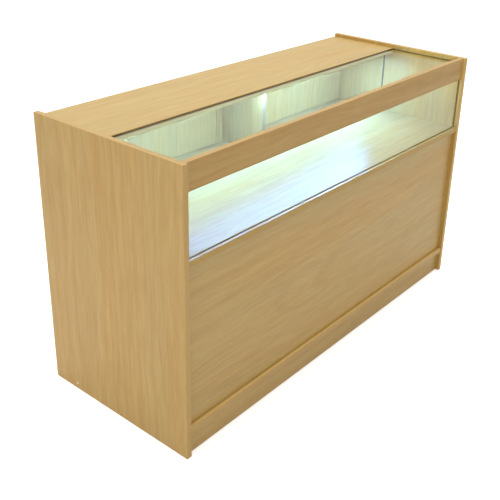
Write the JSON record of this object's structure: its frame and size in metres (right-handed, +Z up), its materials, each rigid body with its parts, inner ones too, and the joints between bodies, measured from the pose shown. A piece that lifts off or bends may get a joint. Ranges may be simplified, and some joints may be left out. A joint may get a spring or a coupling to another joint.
{
  "type": "checkout counter",
  "caption": "Free-standing wood-effect shop checkout counter with a glazed, lit display section, a solid service top and open staff-side storage.",
  "frame": {"origin": "centre of the footprint, on the floor", "axes": "+X to the right seen from the shopper's side, +Y towards the staff side, +Z up"},
  "size_m": [1.5, 0.595, 0.9],
  "materials": {
    "laminate_board": "satin wood-effect melamine",
    "beech": "plain, fluted",
    "glass_pane": "clear float, polished",
    "zinc_steel": "bright zinc plate",
    "zinc_casting": "as cast",
    "hinge_steel": "nickel plate",
    "satin_nickel": "satin nickel",
    "lock_chrome": "polished chrome",
    "key_nickel": "nickel silver",
    "channel_aluminium": "anodised",
    "opal_diffuser": "opal",
    "lamp_board_white": "white solder mask",
    "white_plastic": "fine texture",
    "black_plastic": "satin",
    "beige_plastic": "satin",
    "grey_cable": "satin sheath",
    "grey_rubber": "matt",
    "clear_rubber": "clear soft bumper",
    "circuit_board": "green solder mask"
  },
  "bodies": {
    "counter_frame": {"left_end_panel": "laminate_board", "right_end_panel": "laminate_board", "service_top": "laminate_board", "fascia_rail": "laminate_board", "display_deck": "laminate_board", "lower_front_panel": "laminate_board", "bottom_shelf": "laminate_board", "front_plinth": "laminate_board", "rear_plinth": "laminate_board", "storage_partition": "laminate_board", "display_divider": "laminate_board", "centre_post": "laminate_board", "left_storage_shelf": "laminate_board", "right_storage_shelf": "laminate_board", "top_glass": "glass_pane", "front_glass": "glass_pane", "cam_bolts": "zinc_steel", "cam_locks": "zinc_casting", "wood_dowels": "beech", "plinth_screws": "zinc_steel", "cover_caps": "beige_plastic", "shelf_pins": "zinc_steel", "hinge_fixed_leaves": "hinge_steel", "hinge_pins": "zinc_steel", "board_screws": "zinc_steel", "strike_plates": "hinge_steel", "flap_bumpers": "clear_rubber", "lamp_channel": "channel_aluminium", "lamp_diffuser": "opal_diffuser", "lamp_board": "lamp_board_white", "lamp_end_caps": "white_plastic", "lamp_clips": "hinge_steel", "lamp_cable": "grey_cable", "cable_clips": "white_plastic", "cable_grommet": "grey_rubber", "driver_case": "white_plastic", "driver_base": "white_plastic", "driver_board": "circuit_board", "switch_frame": "black_plastic", "mains_inlet": "black_plastic"},
    "left_flap_body": {"left_flap": "laminate_board", "left_hinge_leaf": "hinge_steel", "left_flap_screws": "zinc_steel", "left_flap_knob": "satin_nickel", "left_lock_barrel": "lock_chrome", "left_lock_nut": "zinc_steel"},
    "right_flap_body": {"right_flap": "laminate_board", "right_hinge_leaf": "hinge_steel", "right_flap_screws": "zinc_steel", "right_flap_knob": "satin_nickel", "right_lock_barrel": "lock_chrome", "right_lock_nut": "zinc_steel"},
    "left_lock_body": {"left_lock_plug": "lock_chrome", "left_lock_cam": "zinc_steel", "left_key": "key_nickel"},
    "right_lock_body": {"right_lock_plug": "lock_chrome", "right_lock_cam": "zinc_steel", "right_key": "key_nickel"},
    "rocker_body": {"switch_rocker": "black_plastic"}
  },
  "joints": [
    {"name": "left_flap_hinge", "type": "hinge", "parent": "counter_frame", "child": "left_flap_body", "pos_m": [-0.386, 0.2725, 0.633], "axis": [-1, 0, 0], "range_deg": [0, 90]},
    {"name": "left_lock_turn", "type": "hinge", "parent": "left_flap_body", "child": "left_lock_body", "pos_m": [-0.386, 0.2695, 0.845], "axis": [0, -1, 0], "range_deg": [0, 90]},
    {"name": "right_flap_hinge", "type": "hinge", "parent": "counter_frame", "child": "right_flap_body", "pos_m": [0.386, 0.2725, 0.633], "axis": [-1, 0, 0], "range_deg": [0, 90]},
    {"name": "right_lock_turn", "type": "hinge", "parent": "right_flap_body", "child": "right_lock_body", "pos_m": [0.386, 0.2695, 0.845], "axis": [0, 1, 0], "range_deg": [0, 90]},
    {"name": "lamp_switch", "type": "hinge", "parent": "counter_frame", "child": "rocker_body", "pos_m": [0.628, 0.2445, 0.5965], "axis": [1, 0, 0], "range_deg": [0, 16]}
  ]
}
